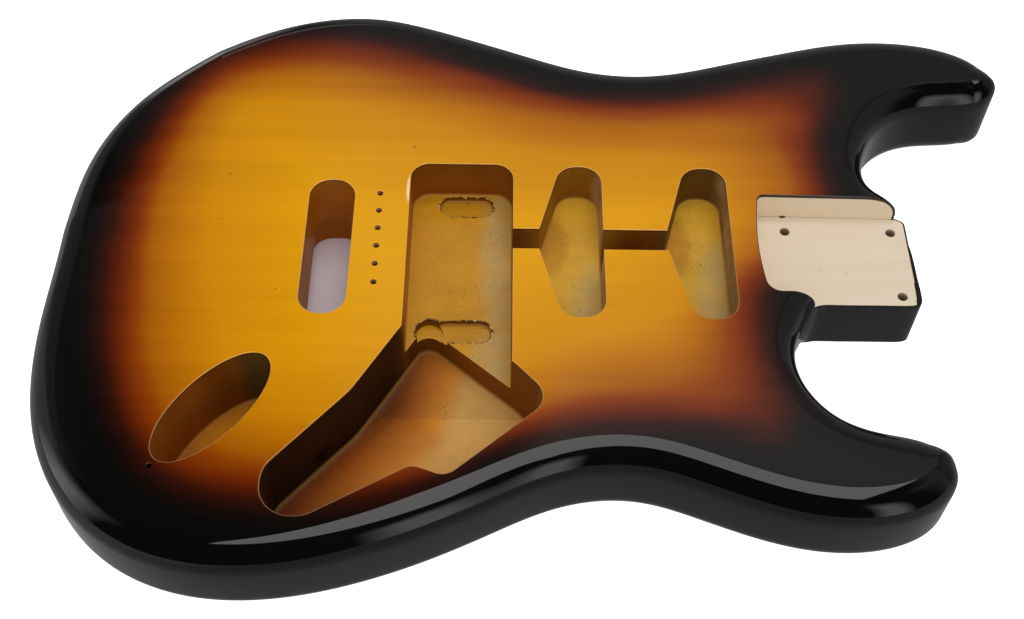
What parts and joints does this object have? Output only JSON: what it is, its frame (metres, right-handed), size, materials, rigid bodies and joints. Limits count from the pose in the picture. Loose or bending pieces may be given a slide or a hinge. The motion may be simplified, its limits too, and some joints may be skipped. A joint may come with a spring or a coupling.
{
  "type": "electric guitar body",
  "caption": "Solid electric guitar body with offset cutaways, rounded and contoured, routed for a bolt-on neck, pickups, controls, jack and tremolo, in a glossy sunburst.",
  "frame": {"origin": "middle of the bounding box's base, on the flat of the back", "axes": "+X from the tail end to the neck, +Y from the treble side to the bass side, +Z from the back to the top"},
  "size_m": [0.4586, 0.3198, 0.0444],
  "materials": {
    "treble_board": "basswood under glossy sunburst lacquer, mostly its dark and red part",
    "centre_board": "basswood under glossy sunburst lacquer, mostly its amber part; bare wood in the neck pocket",
    "bass_board": "basswood under glossy sunburst lacquer, amber to black"
  },
  "bodies": {
    "root": {"treble_board": "treble_board", "centre_board": "centre_board", "bass_board": "bass_board"}
  },
  "joints": []
}
